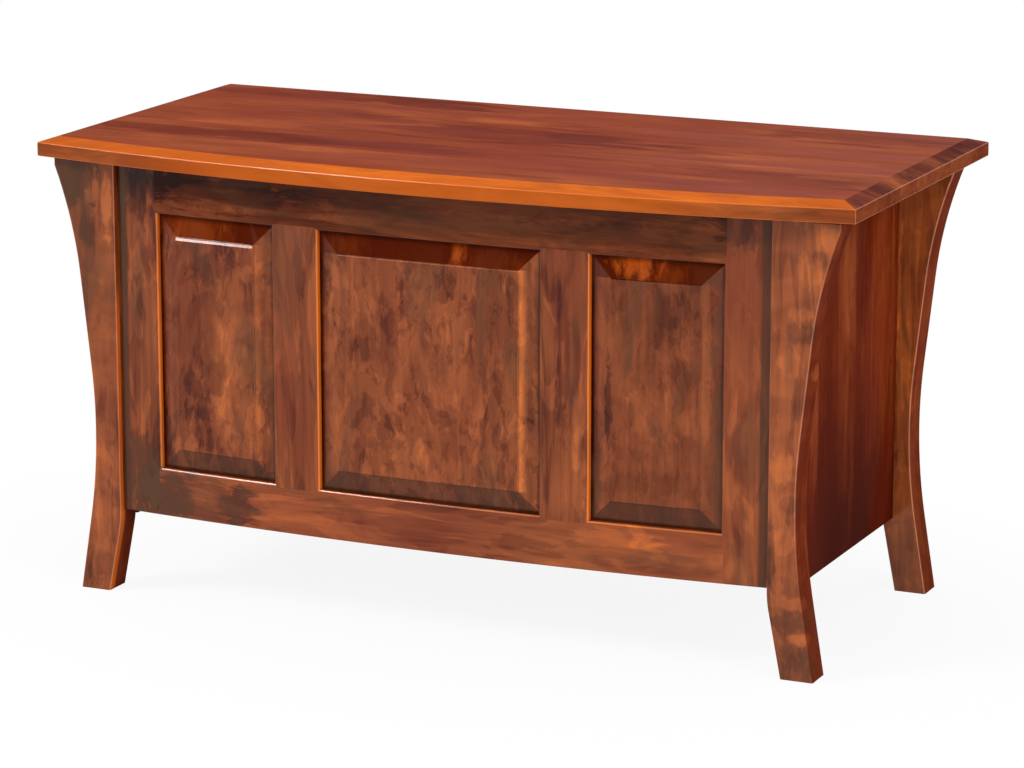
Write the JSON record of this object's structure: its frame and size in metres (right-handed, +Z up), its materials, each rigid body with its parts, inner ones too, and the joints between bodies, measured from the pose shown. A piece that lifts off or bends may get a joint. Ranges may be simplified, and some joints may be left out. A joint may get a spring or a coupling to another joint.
{
  "type": "blanket chest",
  "caption": "Bow-front frame-and-panel blanket chest on curved legs, with a bevelled hinged lid held open by slotted stays.",
  "frame": {"origin": "on the floor, below the middle of the lid's length and depth", "axes": "+X along the chest to the right as seen from the front, +Y to the back, +Z up"},
  "size_m": [1.219, 0.611, 0.653],
  "materials": {
    "lid_wood": "stained and lacquered, semi-gloss",
    "frame_wood": "stained and lacquered, semi-gloss",
    "panel_wood": "stained and lacquered, semi-gloss",
    "plain_wood": "clear, satin",
    "dowel_wood": "bare",
    "hinge_brass": "aged",
    "stay_brass": "aged",
    "brass_screws": "aged",
    "steel_screws": "plated",
    "bumper_felt": "felt"
  },
  "bodies": {
    "case": {"back_leg_dowels": "dowel_wood", "back_leg_left": "frame_wood", "back_leg_right": "frame_wood", "back_panel": "panel_wood", "bottom_board": "plain_wood", "bottom_ledger_back": "plain_wood", "bottom_ledger_front": "plain_wood", "bottom_ledger_left": "plain_wood", "bottom_ledger_right": "plain_wood", "case_screws": "steel_screws", "front_bottom_rail": "frame_wood", "front_leg_dowels": "dowel_wood", "front_leg_left": "frame_wood", "front_leg_right": "frame_wood", "front_mullion_left": "frame_wood", "front_mullion_right": "frame_wood", "front_panel_centre": "panel_wood", "front_panel_left": "panel_wood", "front_panel_right": "panel_wood", "front_stile_left": "frame_wood", "front_stile_right": "frame_wood", "front_top_rail": "frame_wood", "hinge_1_case_leaf": "hinge_brass", "hinge_1_pin": "hinge_brass", "hinge_2_case_leaf": "hinge_brass", "hinge_2_pin": "hinge_brass", "hinge_3_case_leaf": "hinge_brass", "hinge_3_pin": "hinge_brass", "hinge_case_screws": "brass_screws", "hinge_rail": "plain_wood", "side_panel_dowels": "dowel_wood", "side_panel_left": "panel_wood", "side_panel_right": "panel_wood", "stay_case_screws": "brass_screws", "stay_knob_left": "stay_brass", "stay_knob_right": "stay_brass", "stay_plate_left": "stay_brass", "stay_plate_right": "stay_brass"},
    "lid": {"hinge_1_lid_leaf": "hinge_brass", "hinge_2_lid_leaf": "hinge_brass", "hinge_3_lid_leaf": "hinge_brass", "hinge_lid_screws": "brass_screws", "lid_batten_left": "plain_wood", "lid_batten_right": "plain_wood", "lid_batten_screws": "steel_screws", "lid_board_1": "lid_wood", "lid_board_2": "lid_wood", "lid_board_3": "lid_wood", "lid_board_4": "lid_wood", "lid_board_5": "lid_wood", "lid_bumpers": "bumper_felt", "stay_bracket_left": "stay_brass", "stay_bracket_right": "stay_brass", "stay_lid_screws": "brass_screws", "stay_rivet_left": "stay_brass", "stay_rivet_right": "stay_brass"},
    "stay_arm_left": {"stay_arm_left": "stay_brass"},
    "stay_arm_right": {"stay_arm_right": "stay_brass"}
  },
  "joints": [
    {"name": "lid_hinge", "type": "hinge", "parent": "case", "child": "lid", "pos_m": [0, 0.2709, 0.625], "axis": [-1, 0, 0], "range_deg": [0, 90]},
    {"name": "stay_left_swing", "type": "hinge", "parent": "lid", "child": "stay_arm_left", "pos_m": [-0.4833, 0.04139, 0.61], "axis": [-1, 0, 0], "range_deg": [-45, 0]},
    {"name": "stay_right_swing", "type": "hinge", "parent": "lid", "child": "stay_arm_right", "pos_m": [0.4833, 0.04139, 0.61], "axis": [-1, 0, 0], "range_deg": [-45, 0]}
  ],
  "couplings": [
    {"joint": "stay_left_swing", "follows": "lid_hinge", "ratio": -0.5},
    {"joint": "stay_right_swing", "follows": "lid_hinge", "ratio": -0.5}
  ]
}
